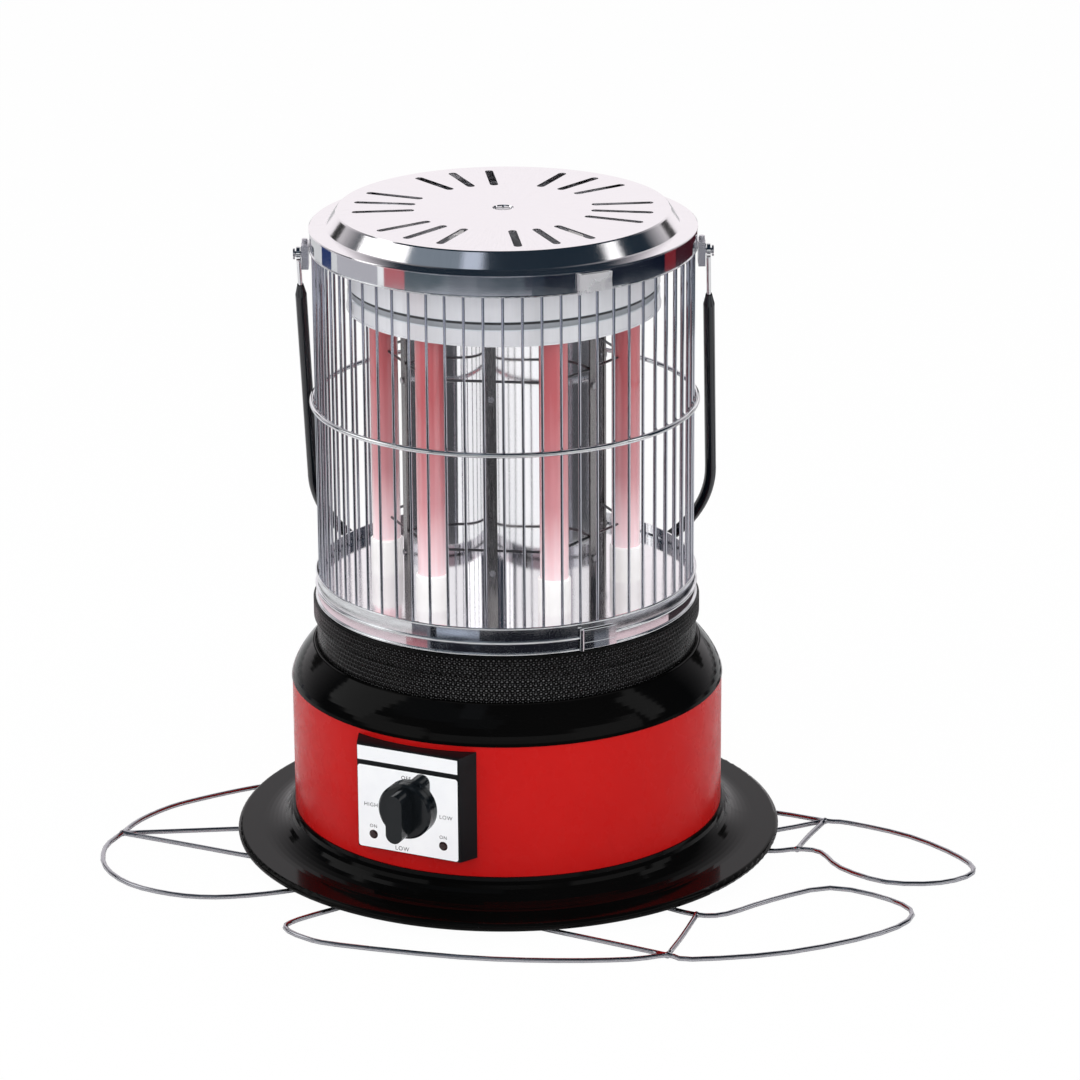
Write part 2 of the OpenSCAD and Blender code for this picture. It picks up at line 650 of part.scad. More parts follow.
// The ear's flat back stands this far off the band's barrel
ear_stand = 0.7;
ear_x = handle_x - handle_wire_r - 0.7;
eye_r = 5;
nub_h = 3;
pin_head_h = 1.2;
module ear(side) {
    mirror([side < 0 ? 1 : 0, 0, 0]) color([0.5, 0.51, 0.53]) union() {
        translate([rim_out_r + ear_stand, -ear_w / 2, pivot_z - ear_down])
            cube([ear_x - rim_out_r - ear_stand, ear_w, ear_up + ear_down]);
        translate([ear_x - 2.2, 0, pivot_z + ear_up]) cylinder(r = 1.9, h = nub_h, $fn = 24);
        translate([ear_x, 0, pivot_z]) rotate([0, 90, 0])
            cylinder(r = pivot_pin_r, h = 2 * handle_wire_r + 1.4, $fn = 48);
        translate([ear_x + 2 * handle_wire_r + 1.4, 0, pivot_z]) rotate([0, 90, 0])
            cylinder(r = pivot_pin_r + 1.8, h = pin_head_h, $fn = 32);
    }
}
module handle_ear_left() {
    ear(-1);
}
module handle_ear_right() {
    ear(1);
}
module ear_rivets() {
    color([0.75, 0.76, 0.78]) for (s = [-1, 1], y = [-1, 1])
        mirror([s < 0 ? 1 : 0, 0, 0]) translate([ear_x, y * ear_w * 0.3, pivot_z + ear_up * 0.6])
            rotate([0, 90, 0]) cylinder(r = 1.6, h = 0.45, $fn = 24);
}
eye_t = 2.4;
// How far an arm leans outwards; side is -1 for the left arm and 1 for the right one
function lean(side) = side * atan((side < 0 ? left_bent : right_bent) / handle_l);
// Length of an arm, from its pivot to its bend
function arm_l(side) = (handle_l - handle_bend_r * (1 + sin(lean(side)))) / cos(lean(side));
// Distance of a bend's centre from the middle between the pivots
function bend_x(side) = handle_x + arm_l(side) * sin(lean(side)) - handle_bend_r * cos(lean(side));
// The straight lengths are this much thinner than the bends, and end this far inside them
seam_step = 0.05;
seam_lap = 0.5;
// A round section, hollow if r_in is above zero
module section(r, r_in) {
    difference() {
        circle(r = r, $fn = 32);
        if (r_in > 0) circle(r = r_in, $fn = 32);
    }
}
// Both bends and the crossbar, in a frame whose origin is midway between the pivots
module bow(r, r_in) {
    translate([-bend_x(-1) - seam_lap, 0, -handle_l]) rotate([0, 90, 0])
        linear_extrude(height = bend_x(-1) + bend_x(1) + 2 * seam_lap)
            section(r - seam_step, r_in > 0 ? r_in + seam_step : 0);
    for (side = [-1, 1]) mirror([side < 0 ? 1 : 0, 0, 0])
        translate([bend_x(side), 0, handle_bend_r - handle_l]) rotate([90, 0, 0]) rotate([0, 0, -90])
            rotate_extrude(angle = 90 + lean(side), $fn = 128) translate([handle_bend_r, 0])
                section(r, r_in);
}
// An arm from the distance start below its pivot down to its bend, with a tapered top
module arm(side, r, r_in, start, taper, tip_r) {
    end = arm_l(side) + seam_lap;
    bore = r_in > 0 ? r_in + seam_step : 0;
    mirror([side < 0 ? 1 : 0, 0, 0]) translate([handle_x, 0, 0]) rotate([0, -lean(side), 0])
        rotate_extrude($fn = 64) polygon([[bore, -end], [r - seam_step, -end],
            [r - seam_step, -start - taper], [tip_r, -start], [bore, -start]]);
}
// Puts the children in the handle's stored pose
module stored() {
    translate([0, 0, pivot_z]) rotate([handle_lean, 0, 0]) children();
}
module handle_wire() {
    color([0.8, 0.81, 0.83]) stored() difference() {
        union() {
            bow(handle_wire_r, 0);
            for (side = [-1, 1]) {
                arm(side, handle_wire_r, 0, 3, 1, handle_wire_r - 0.4);
                translate([side * handle_x - eye_t / 2, 0, 0]) rotate([0, 90, 0])
                    cylinder(r = eye_r, h = eye_t, $fn = 48);
            }
        }
        for (side = [-1, 1]) translate([side * handle_x - 5, 0, 0]) rotate([0, 90, 0])
            cylinder(r = pivot_pin_r + play, h = 10, $fn = 48);
    }
}
module handle_sleeve() {
    bore_r = handle_wire_r + 0.05;
    color([0.04, 0.04, 0.04]) stored() union() {
        bow(sleeve_r, bore_r);
        for (side = [-1, 1])
            arm(side, sleeve_r, bore_r, sleeve_start + side * sleeve_slid, sleeve_taper,
                handle_wire_r + 0.6);
    }
}

// ---------- lamps and reflector ----------
cap_floor = 4;
tube_z = tray_top + cap_floor;
tube_top = lamp_plate_z - cap_floor;
module quartz_tube(i) {
    color([0.85, 0.45, 0.45, 0.8]) at(lamp_turn + 60 * (i - 1), lamp_circle_r)
        ring(tube_r - tube_wall, tube_r, tube_z, tube_top - tube_z);
}
module quartz_tube_1() { quartz_tube(1); }
module quartz_tube_2() { quartz_tube(2); }
module quartz_tube_3() { quartz_tube(3); }
module quartz_tube_4() { quartz_tube(4); }
module quartz_tube_5() { quartz_tube(5); }
module quartz_tube_6() { quartz_tube(6); }
module heating_elements() {
    color([0.9, 0.4, 0.2]) for (i = [0 : lamps - 1]) at(lamp_turn + 60 * i, lamp_circle_r)
        translate([0, 0, tube_z]) cylinder(r = element_r, h = tube_top - tube_z, $fn = 24);
}
stem_h = 10;
module lower_caps() {
    color([0.95, 0.93, 0.9]) for (i = [0 : lamps - 1]) at(lamp_turn + 60 * i, lamp_circle_r) difference() {
        union() {
            translate([0, 0, tray_top]) cylinder(r = cap_r, h = cap_h - 1, $fn = 48);
            translate([0, 0, tray_top + cap_h - 1]) cylinder(r1 = cap_r, r2 = cap_r - 1, h = 1, $fn = 48);
            translate([0, 0, tray_top - stem_h]) cylinder(r = stem_r, h = stem_h + 1, $fn = 32);
        }
        translate([0, 0, tube_z]) cylinder(r = tube_r + play, h = cap_h, $fn = 48);
    }
}
module upper_caps() {
    color([0.95, 0.93, 0.9]) for (i = [0 : lamps - 1]) at(lamp_turn + 60 * i, lamp_circle_r) difference() {
        union() {
            translate([0, 0, lamp_plate_z - upper_cap_h]) cylinder(r = cap_r, h = upper_cap_h, $fn = 48);
            translate([0, 0, lamp_plate_z - 1]) cylinder(r = stem_r, h = stem_h + 1, $fn = 32);
        }
        translate([0, 0, tube_top - upper_cap_h]) cylinder(r = tube_r + play, h = upper_cap_h, $fn = 48);
    }
}
// Wires from tube to tube, cut short at the reflector's cusps
module tube_ties() {
    tie_d = lamp_circle_r * cos(30);
    start = strip_w / 2 - 0.6;
    end = lamp_circle_r * sin(30) - tube_r - 0.2;
    color([0.6, 0.6, 0.62]) for (i = [0 : lamps - 1], z = [tie_low, tie_high], s = [-1, 1])
        at(lamp_turn + 30 + 60 * i, tie_d) translate([s * start, 0, tray_top + z]) rotate([0, s * 90, 0])
            cylinder(r = tie_r, h = end - start, $fn = 24);
}
trough_half = cusp_r * sin(30) - gap;
trough_depth = cusp_r * cos(30) - vertex_r;
trough_steps = 12;
// Distance from the axis of the trough's parabola, at a distance u from its middle line
function trough(u) = vertex_r + trough_depth * pow(u / (trough_half + gap), 2);
module reflector(i) {
    across = [for (k = [-trough_steps : trough_steps]) k / trough_steps];
    // The back is narrower, so that neighbouring troughs meet without crossing
    back_half = trough_half - reflector_t * tan(30) - 0.1;
    front = [for (u = across) [u * trough_half, -trough(u * trough_half)]];
    back = [for (u = reversed(across)) [u * back_half, -trough(u * trough_half) + reflector_t]];
    color([0.9, 0.9, 0.92]) rotate([0, 0, lamp_turn + 60 * (i - 1)]) translate([0, 0, tray_top])
        linear_extrude(height = lamp_plate_z - tray_top) polygon(concat(front, back));
}
module reflector_1() { reflector(1); }
module reflector_2() { reflector(2); }
module reflector_3() { reflector(3); }
module reflector_4() { reflector(4); }
module reflector_5() { reflector(5); }
module reflector_6() { reflector(6); }
module cusp_strips() {
    color([0.4, 0.4, 0.42]) for (i = [0 : lamps - 1]) at(lamp_turn + 30 + 60 * i, cusp_r + 0.1 + strip_t)
        difference() {
        translate([-strip_w / 2, 0, tray_top]) cube([strip_w, strip_t, lamp_plate_z - tray_top]);
        for (z = [strip_screw_low, strip_screw_high])
            translate([0, -eps, tray_top + z]) rotate([-90, 0, 0])
                cylinder(r = 1.1, h = strip_t + 2 * eps, $fn = 24);
    }
}
module strip_screws() {
    color([0.7, 0.7, 0.72]) for (i = [0 : lamps - 1], z = [strip_screw_low, strip_screw_high])
        at(lamp_turn + 30 + 60 * i, cusp_r + 0.1 + strip_t) translate([0, 0, tray_top + z])
            rotate([90, 0, 0]) {
            cylinder(r = 2.2, h = 1.3, $fn = 24);
            translate([0, 0, -strip_t]) cylinder(r = 1, h = strip_t + 0.5, $fn = 24);
        }
}

// ---------- control panel ----------
knob_z = panel_z + (panel_h - strip_h - strip_gap) / 2 + knob_up;
housing_wall = 2;
panel_t = 1.2;
// The panel's own frame: origin on the housing's front at floor level, outwards is -Y
module on_panel() {
    rotate([0, 0, panel_az]) translate([0, -panel_d, 0]) children();
}
module control_housing() {
    back_y = panel_out + 19;
    color([0.03, 0.03, 0.03]) difference() {
        on_panel() hull() {
            translate([-panel_w / 2, 0, panel_z]) cube([panel_w, 0.01, panel_h]);
            translate([-panel_w / 2 - panel_draft * back_y / 10, back_y,
                panel_z - panel_rise * back_y / 10])
                cube([panel_w + panel_draft * back_y / 5, 0.01, panel_h + panel_rise * back_y / 5]);
        }
        translate([0, 0, -eps]) cylinder(r = drum_r + 0.1, h = panel_z + 2 * panel_h);
        on_panel() {
            translate([-panel_w / 2 + housing_wall, housing_wall, panel_z + housing_wall])
                cube([panel_w - 2 * housing_wall, back_y, panel_h - 2 * housing_wall]);
            translate([0, -eps, knob_z]) rotate([-90, 0, 0])
                cylinder(r = shaft_r + 3.4, h = housing_wall + 2 * eps, $fn = 48);
            for (s = [-1, 1]) translate([s * lamp_x, -eps, lamp_z]) rotate([-90, 0, 0])
                cylinder(r = lamp_lens_r + 0.1, h = housing_wall + 2 * eps, $fn = 32);
        }
    }
}
lamp_x = 26;
lamp_z = panel_z + 10.5;
lamp_lens_r = 2.6;
module control_panel() {
    w = panel_w - 2 * border_w;
    h = panel_h - strip_h - strip_gap - 2 * border_w;
    corner = 2;
    color([0.9, 0.91, 0.92]) on_panel() difference() {
        translate([0, 0, panel_z + border_w]) rotate([90, 0, 0]) linear_extrude(height = panel_t) union() {
            translate([-w / 2, corner]) square([w, h - 2 * corner]);
            translate([-w / 2 + corner, 0]) square([w - 2 * corner, h]);
            for (x = [-1, 1], y = [corner, h - corner]) translate([x * (w / 2 - corner), y])
                circle(r = corner, $fn = 32);
        }
        translate([0, eps, knob_z]) rotate([90, 0, 0])
            cylinder(r = shaft_r + 1, h = panel_t + 2 * eps, $fn = 48);
        for (s = [-1, 1]) translate([s * lamp_x, eps, lamp_z]) rotate([90, 0, 0])
            cylinder(r = lamp_lens_r + 0.1, h = panel_t + 2 * eps, $fn = 32);
    }
}
module bare_strip() {
    w = panel_w - 2 * border_w;
    color([0.9, 0.91, 0.92]) on_panel()
        translate([-w / 2, -panel_t, panel_z + panel_h - border_w - strip_h + 1])
        cube([w, panel_t, strip_h - 1]);
}
module indicator_lamps() {
    color([0.1, 0.02, 0.02]) on_panel() for (s = [-1, 1]) translate([s * lamp_x, 8, lamp_z])
        rotate([90, 0, 0]) union() {
        cylinder(r = lamp_lens_r, h = 8 + panel_t, $fn = 32);
        translate([0, 0, 8 + panel_t]) cylinder(r1 = lamp_lens_r + 0.6, r2 = lamp_lens_r - 0.4, h = 1,
            $fn = 32);
        cylinder(r = lamp_lens_r + 1.2, h = 8 - housing_wall - 0.2, $fn = 32);
    }
}
module on_knob() {
    on_panel() translate([0, -panel_t - gap, knob_z]) rotate([90, 0, 0]) children();
}
shaft_bore_h = 10;
module knob() {
    color([0.03, 0.03, 0.03]) on_knob() difference() {
        union() {
            cylinder(r = knob_r, h = knob_base_h - 1.5, $fn = 64);
            translate([0, 0, knob_base_h - 1.5])
                cylinder(r1 = knob_r, r2 = knob_r - 1.5, h = 1.5, $fn = 64);
            translate([-grip_w / 2, -grip_l / 2 + grip_w / 2, 0])
                cube([grip_w, grip_l - grip_w, knob_base_h + grip_h]);
            for (s = [-1, 1]) translate([0, s * (grip_l - grip_w) / 2, 0])
                cylinder(r = grip_w / 2, h = knob_base_h + grip_h, $fn = 48);
        }
        translate([0, 0, -eps]) cylinder(r = shaft_r + 0.02, h = shaft_bore_h + eps, $fn = 48);
    }
}
switch_y = 14;
module knob_shaft() {
    color([0.7, 0.7, 0.72]) on_knob() translate([0, 0, -switch_y - panel_t - gap])
        cylinder(r = shaft_r, h = switch_y + panel_t + gap + shaft_bore_h - 0.5, $fn = 48);
}
module rotary_switch() {
    color([0.86, 0.84, 0.78]) on_panel() translate([0, 0, knob_z]) difference() {
        union() {
            translate([-16, housing_wall, -18]) cube([32, switch_y + 6, 36]);
            translate([0, housing_wall + eps, 0]) rotate([90, 0, 0])
                cylinder(r = shaft_r + 3, h = housing_wall + eps, $fn = 48);
        }
        translate([0, switch_y + 4, 0]) rotate([90, 0, 0])
            cylinder(r = shaft_r + play, h = switch_y + 10, $fn = 48);
    }
}
module cord_gland() {
    color([0.05, 0.05, 0.05]) at(180, drum_r) translate([0, 0, gland_z]) difference() {
        union() {
            translate([0, 8, 0]) rotate([90, 0, 0]) cylinder(r = gland_r - 0.1, h = 16, $fn = 48);
            translate([0, -0.5, 0]) rotate([90, 0, 0]) cylinder(r = gland_r + 2.5, h = 3, $fn = 48);
            translate([0, 8, 0]) rotate([90, 0, 0])
                cylinder(r = gland_r + 2.5, h = 8 - drum_wall - 0.6, $fn = 6);
        }
        translate([0, 12, 0]) rotate([90, 0, 0]) cylinder(r = gland_bore_r, h = 24, $fn = 48);
    }
}

base_skirt();
bottom_plate();
rubber_feet();
foot_screws();
outrigger_left();
outrigger_front();
outrigger_right();
outrigger_clips();
base_drum();
shoulder_cover();
neck_grille();
lower_rim();
lower_rim_strap();
reflector_tray();
cage_wires();
cage_hoop();
top_band();
top_band_clip();
top_cover();
centre_screw();
tie_rod();
upper_drum();
lamp_plate();
handle_ear_left();
handle_ear_right();
ear_rivets();
handle_wire();
handle_sleeve();
quartz_tube_1();
quartz_tube_2();
quartz_tube_3();
quartz_tube_4();
quartz_tube_5();
quartz_tube_6();
heating_elements();
lower_caps();
upper_caps();
tube_ties();
reflector_1();
reflector_2();
reflector_3();
reflector_4();
reflector_5();
reflector_6();
cusp_strips();
strip_screws();
control_housing();
control_panel();
bare_strip();
knob();
knob_shaft();
rotary_switch();
indicator_lamps();
tip_over_switch();
terminal_block();
cord_gland();
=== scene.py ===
"""Round quartz heater on wire outriggers: finish, fine detail, studio light and camera."""
import math
import bpy
import bmesh
from mathutils import Matrix, Vector


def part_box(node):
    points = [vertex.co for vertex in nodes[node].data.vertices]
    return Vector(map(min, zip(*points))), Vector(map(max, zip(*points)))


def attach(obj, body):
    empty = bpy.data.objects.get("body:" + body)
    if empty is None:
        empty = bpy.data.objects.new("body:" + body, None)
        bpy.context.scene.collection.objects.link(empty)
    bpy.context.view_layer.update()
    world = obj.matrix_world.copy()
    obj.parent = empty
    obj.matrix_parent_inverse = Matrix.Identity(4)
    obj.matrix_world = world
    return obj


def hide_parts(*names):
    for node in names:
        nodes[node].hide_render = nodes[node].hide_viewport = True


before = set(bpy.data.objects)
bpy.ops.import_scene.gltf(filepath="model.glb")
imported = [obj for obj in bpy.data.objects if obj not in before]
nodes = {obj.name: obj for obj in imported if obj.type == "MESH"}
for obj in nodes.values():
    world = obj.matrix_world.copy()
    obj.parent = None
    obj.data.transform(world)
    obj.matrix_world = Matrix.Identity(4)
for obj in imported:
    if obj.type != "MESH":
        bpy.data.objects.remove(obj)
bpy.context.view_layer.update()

# ---------------------------------------------------------------- sizes, in metres, from the frame
MM = 0.001
LAMPS = 6
LAMP_TURN = 23            # azimuth of the first lamp, degrees
WIRES = 63                # uprights of the cage
WIRE_TURN = -0.4          # azimuth of the first upright, degrees
PANEL_AZ = -25.1          # the panel faces this azimuth, degrees
PANEL_D = 158.6 * MM      # the panel's white face, from the axis
TRAY_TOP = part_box("reflector_tray")[1].z
LAMP_PLATE_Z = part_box("lamp_plate")[0].z
TUBE_LOW, TUBE_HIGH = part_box("quartz_tube_1")
HOOP_LOW, HOOP_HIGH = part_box("cage_hoop")
RIM_LOW, RIM_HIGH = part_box("lower_rim")
DRUM_LOW, DRUM_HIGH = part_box("upper_drum")
BAND_LOW, BAND_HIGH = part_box("top_band")
# GROOVE_LOW to GROOVE_TOP is the stretch that takes painted shade: dark and grey bands round the upper
# drum's pressed groove
GROOVE_LOW = DRUM_LOW.z + 10 * MM    # the shaded stretch round the upper drum's pressed groove
GROOVE_TOP = GROOVE_LOW + 7.2 * MM

# the pierced band round the neck
NECK_LOW, NECK_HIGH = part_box("neck_grille")
COLLAR_R = NECK_HIGH.x
NECK_R = COLLAR_R - 2.2 * MM
COLLAR_FOOT = 164 * MM    # height at which the neck flares out to its collar
FLARE = 3 * MM
HOLE_ROWS = 12
HOLES_ROUND = 236
HOLE_R = 0.78 * MM
ROW_STEP = 3.15 * MM
FIRST_ROW = NECK_LOW.z + 0.475 * MM

# the viewer and what the studio is turned to
EYE = Vector((0, -2.863, 1.201))    # where the photograph was taken from
CARD_AIM = Vector((0, 0, 0.3))
LAMP_AIM = Vector((0, 0, 0.25))


# ---------------------------------------------------------------- points and objects
def facing(azimuth, out, side, z):
    """A point out from the axis at that azimuth, and side to the right for one who faces it.

    Azimuth 0 faces the camera and 90 is to the right.
    """
    a = math.radians(azimuth)
    return Vector((out * math.sin(a) + side * math.cos(a), side * math.sin(a) - out * math.cos(a), z))


def polar(radius, azimuth, z):
    return facing(azimuth, radius, 0, z)


def new_object(name, data):
    o = bpy.data.objects.new(name, data)
    bpy.context.scene.collection.objects.link(o)
    return o


# ---------------------------------------------------------------- camera
def add_camera():
    """The photograph's viewpoint: long lens, 19 degrees down, almost straight on."""
    yaw, pitch, roll = math.radians(-0.47), math.radians(18.98), math.radians(-0.35)
    focal_px, picture_px, sensor_mm = 4387, 1080, 36
    forward = Vector((-math.sin(yaw) * math.cos(pitch), math.cos(yaw) * math.cos(pitch), -math.sin(pitch)))
    right = Vector((math.cos(yaw), math.sin(yaw), 0))
    up = right.cross(forward)
    side = right * math.cos(roll) + up * math.sin(roll)
    top = up * math.cos(roll) - right * math.sin(roll)
    data = bpy.data.cameras.new("camera")
    data.sensor_width = sensor_mm
    data.lens = focal_px / picture_px * sensor_mm
    data.clip_start = 0.1
    data.clip_end = 50
    camera = new_object("camera", data)
    place = Matrix((side, top, -forward)).transposed().to_4x4()
    place.translation = EYE
    camera.matrix_world = place
    bpy.context.scene.camera = camera


# ---------------------------------------------------------------- shader helpers
# An owner is a material or the world: whatever holds a node tree.
def add(owner, kind, **settings):
    node = owner.node_tree.nodes.new(kind)
    for key, value in settings.items():
        setattr(node, key, value)
    return node


def link(owner, a, b):
    owner.node_tree.links.new(a, b)


def new_material(name, colour, metallic=0.0, roughness=0.4, **sockets):
    """A Principled material; sockets are set by name with _ for a space."""
    mat = bpy.data.materials.new(name)
    mat.use_nodes = True
    shader = shader_of(mat)
    shader.inputs["Base Color"].default_value = (*colour, 1)
    shader.inputs["Metallic"].default_value = metallic
    shader.inputs["Roughness"].default_value = roughness
    for key, value in sockets.items():
        shader.inputs[key.replace("_", " ")].default_value = value
    return mat


def shader_of(mat):
    return mat.node_tree.nodes["Principled BSDF"]


def maths(owner, operation, *values):
    """A math node fed with sockets and plain numbers."""
    node = add(owner, "ShaderNodeMath", operation=operation)
    for value, socket in zip(values, node.inputs):
        if isinstance(value, (int, float)):
            socket.default_value = value
        else:
            link(owner, value, socket)
    return node.outputs[0]


def mix(owner, share, first, second):
    """The first shader, and the second one by that share."""
    node = add(owner, "ShaderNodeMixShader")
    for value, socket in zip((share, first, second), node.inputs):
        link(owner, value, socket)
    return node.outputs[0]


def ramp(owner, fac, stops):
    """Colours at places from 0 to 1, blended in between."""
    node = add(owner, "ShaderNodeValToRGB")
    elements = node.color_ramp.elements
    for element, (place, colour) in zip(elements, (stops[0], stops[-1])):
        element.position = place
        element.color = (*colour, 1)
    for place, colour in stops[1:-1]:
        elements.new(place).color = (*colour, 1)
    link(owner, fac, node.inputs["Fac"])
    return node.outputs["Color"]


def object_space(mat, stretch=(1, 1, 1)):
    """Object coordinates, scaled, as a vector output."""
    coords = add(mat, "ShaderNodeTexCoord")
    mapping = add(mat, "ShaderNodeMapping")
    mapping.inputs["Scale"].default_value = stretch
    link(mat, coords.outputs["Object"], mapping.inputs["Vector"])
    return mapping.outputs["Vector"]


def split_place(mat):
    """Object coordinates as X, Y and Z outputs."""
    coords = add(mat, "ShaderNodeTexCoord")
    split = add(mat, "ShaderNodeSeparateXYZ")
    link(mat, coords.outputs["Object"], split.inputs["Vector"])
    return split.outputs


def height_share(mat, low, high):
    """A share that runs from 0 at one height to 1 at another."""
    share = add(mat, "ShaderNodeMapRange")
    share.inputs["From Min"].default_value = low
    share.inputs["From Max"].default_value = high
    link(mat, split_place(mat)["Z"], share.inputs["Value"])
    return share.outputs["Result"]


def around(mat, turns, height):
    """A vector that runs round the upright axis, for marks that follow a turned part."""
    place = split_place(mat)
    flat = add(mat, "ShaderNodeCombineXYZ")
    link(mat, place["X"], flat.inputs["X"])
    link(mat, place["Y"], flat.inputs["Y"])
    radius = add(mat, "ShaderNodeVectorMath", operation="LENGTH")
    link(mat, flat.outputs[0], radius.inputs[0])
    angle = maths(mat, "ARCTAN2", place["Y"], place["X"])
    joined = add(mat, "ShaderNodeCombineXYZ")
    link(mat, maths(mat, "MULTIPLY", angle, turns), joined.inputs["X"])
    link(mat, radius.outputs["Value"], joined.inputs["Y"])
    link(mat, maths(mat, "MULTIPLY", place["Z"], height), joined.inputs["Z"])
    return joined.outputs[0]


def noise_on(mat, vector, scale, detail):
    tex = add(mat, "ShaderNodeTexNoise")
    tex.inputs["Scale"].default_value = scale
    tex.inputs["Detail"].default_value = detail
    link(mat, vector, tex.inputs["Vector"])
    return tex.outputs["Fac"]


def noise(mat, scale, detail, stretch=(1, 1, 1)):
    return noise_on(mat, object_space(mat, stretch), scale, detail)


NOISE_LOW, NOISE_HIGH = 0.3, 0.7    # a noise's values lie nearly all between these


def vary_roughness(mat, fac, low, high):
    node = add(mat, "ShaderNodeMapRange")
    node.inputs["From Min"].default_value = NOISE_LOW
    node.inputs["From Max"].default_value = NOISE_HIGH
    node.inputs["To Min"].default_value = low
    node.inputs["To Max"].default_value = high
    link(mat, fac, node.inputs["Value"])
    link(mat, node.outputs["Result"], shader_of(mat).inputs["Roughness"])


def vary_colour(mat, fac, dark, light):
    colour = ramp(mat, fac, [(NOISE_LOW, dark), (NOISE_HIGH, light)])
    link(mat, colour, shader_of(mat).inputs["Base Color"])


def bump(mat, fac, depth, strength=1.0):
    """Bumps of that real depth in metres."""
    node = add(mat, "ShaderNodeBump")
    node.inputs["Strength"].default_value = strength
    node.inputs["Distance"].default_value = depth
    link(mat, fac, node.inputs["Height"])
    link(mat, node.outputs["Normal"], shader_of(mat).inputs["Normal"])


def shaded(colour, level):
    return [c * level for c in colour]


# ---------------------------------------------------------------- materials
def gloss_enamel(name, colour, dark, roughness, shine):
    mat = new_material(name, colour, roughness=roughness, Coat_Weight=0.02, Coat_Roughness=0.04,
        Specular_IOR_Level=shine)
    vary_colour(mat, noise(mat, 9, 4), dark, colour)
    vary_roughness(mat, noise(mat, 60, 5), roughness * 0.8, roughness * 1.4)
    bump(mat, noise(mat, 700, 2), 0.004 * MM)
    return mat


def satin_enamel():
    mat = new_material("mat_black_mesh", (0.002, 0.002, 0.002), roughness=0.25, Specular_IOR_Level=0.08)
    vary_roughness(mat, noise(mat, 90, 4), 0.2, 0.36)
    bump(mat, noise(mat, 900, 2), 0.03 * MM)
    return mat


def bright_metal(name, colour, roughness):
    mat = new_material(name, colour, metallic=1, roughness=roughness)
    vary_roughness(mat, noise(mat, 40, 5), roughness * 0.7, roughness * 1.6)
    vary_colour(mat, noise(mat, 14, 3), shaded(colour, 0.94), colour)
    return mat


def turned_metal(name, colour, roughness, lines=2600, depth=0.006 * MM):
    """Metal spun on a lathe: fine rings round the axis."""
    mat = new_material(name, colour, metallic=1, roughness=roughness)
    bump(mat, noise_on(mat, around(mat, 0.35, 0.5), lines, 2), depth)
    vary_roughness(mat, noise(mat, 30, 4), roughness * 0.8, roughness * 1.4)
    vary_colour(mat, noise_on(mat, around(mat, 1.2, 1), 60, 4), shaded(colour, 0.96), colour)
    return mat


def aluminised_sheet():
    """Satin aluminised sheet, with painted shade in dark and grey bands round the upper drum's pressed
    groove.
    """
    mat = turned_metal("mat_aluminised", (0.89, 0.89, 0.92), 0.16, lines=1800, depth=0.002 * MM)
    shader_of(mat).inputs["Metallic"].default_value = 0.35
    # painted shade: the sheet's colour is multiplied down to dark and grey bands over the groove, and left
    # as it is elsewhere
    lit, cool = (1, 1, 1), (0.92, 0.97, 1)
    levels = ((0.12, 1.0), (0.2, 0.42), (0.62, 0.5), (0.7, 0.05), (0.9, 0.06), (0.96, 1.0))
    stops = [(0, lit), *((place, shaded(cool, level)) for place, level in levels), (1, lit)]
    shade = ramp(mat, height_share(mat, GROOVE_LOW, GROOVE_TOP), stops)
    colour = shader_of(mat).inputs["Base Color"]
    darker = add(mat, "ShaderNodeVectorMath", operation="MULTIPLY")
    link(mat, colour.links[0].from_socket, darker.inputs[0])
    link(mat, shade, darker.inputs[1])
    link(mat, darker.outputs["Vector"], colour)
    return mat


def brushed_metal(name, colour, roughness, stretch):
    mat = new_material(name, colour, metallic=1, roughness=roughness)
    grain = noise(mat, 900, 3, stretch)
    bump(mat, grain, 0.012 * MM)
    vary_roughness(mat, grain, roughness * 0.75, roughness * 1.35)
    vary_colour(mat, noise(mat, 25, 4), shaded(colour, 0.85), colour)
    return mat


def quartz():
    """Frosted rose quartz, drawn lengthwise; painted shade makes it deeper pink at the top, and painted
    light with a glow makes it paler at the foot.
    """
    mat = new_material("mat_quartz", (0.7, 0.3, 0.3), roughness=0.22, Coat_Weight=1.0, Coat_Roughness=0.06,
        Subsurface_Weight=0.1, Subsurface_Scale=3 * MM, Subsurface_Radius=(1.0, 0.45, 0.4),
        Sheen_Weight=0.12, Sheen_Roughness=0.3, Emission_Strength=1)
    lengthwise = (1, 1, 0.02)
    height = height_share(mat, TUBE_LOW.z, TUBE_HIGH.z)
    # the colour runs with height: painted shade deep pink at the top, painted light pale at the foot, with
    # lengthwise streaks on it
    streaks = maths(mat, "MULTIPLY_ADD", noise(mat, 260, 3, lengthwise), 0.22, height)
    pale, rose, deep = (0.95, 0.78, 0.81), (0.74, 0.33, 0.36), (0.56, 0.13, 0.145)
    tint_with_painted_shade = ramp(mat, streaks, [(0.12, pale), (0.42, rose), (0.8, deep)])
    link(mat, tint_with_painted_shade, shader_of(mat).inputs["Base Color"])
    # painted glow at the foot, standing in for the light thrown up from the tray; the tube is no lamp
    foot = ramp(mat, height, [(0.05, (0.40, 0.33, 0.35)), (0.34, (0, 0, 0))])
    link(mat, foot, shader_of(mat).inputs["Emission Color"])
    bump(mat, noise(mat, 420, 2, lengthwise), 0.12 * MM)
    return mat


def ceramic():
    """White ceramic, with a painted glow that stands in for the light the polished tray under it throws up.
    """
    # the emission is painted light: the caps are no lamp
    mat = new_material("mat_ceramic", (0.97, 0.96, 0.96), roughness=0.3,
        Emission_Color=(1.0, 0.96, 0.95, 1), Emission_Strength=0.28)
    vary_colour(mat, noise(mat, 120, 4), (0.95, 0.94, 0.93), (0.99, 0.98, 0.98))
    bump(mat, noise(mat, 700, 3), 0.04 * MM)
    return mat


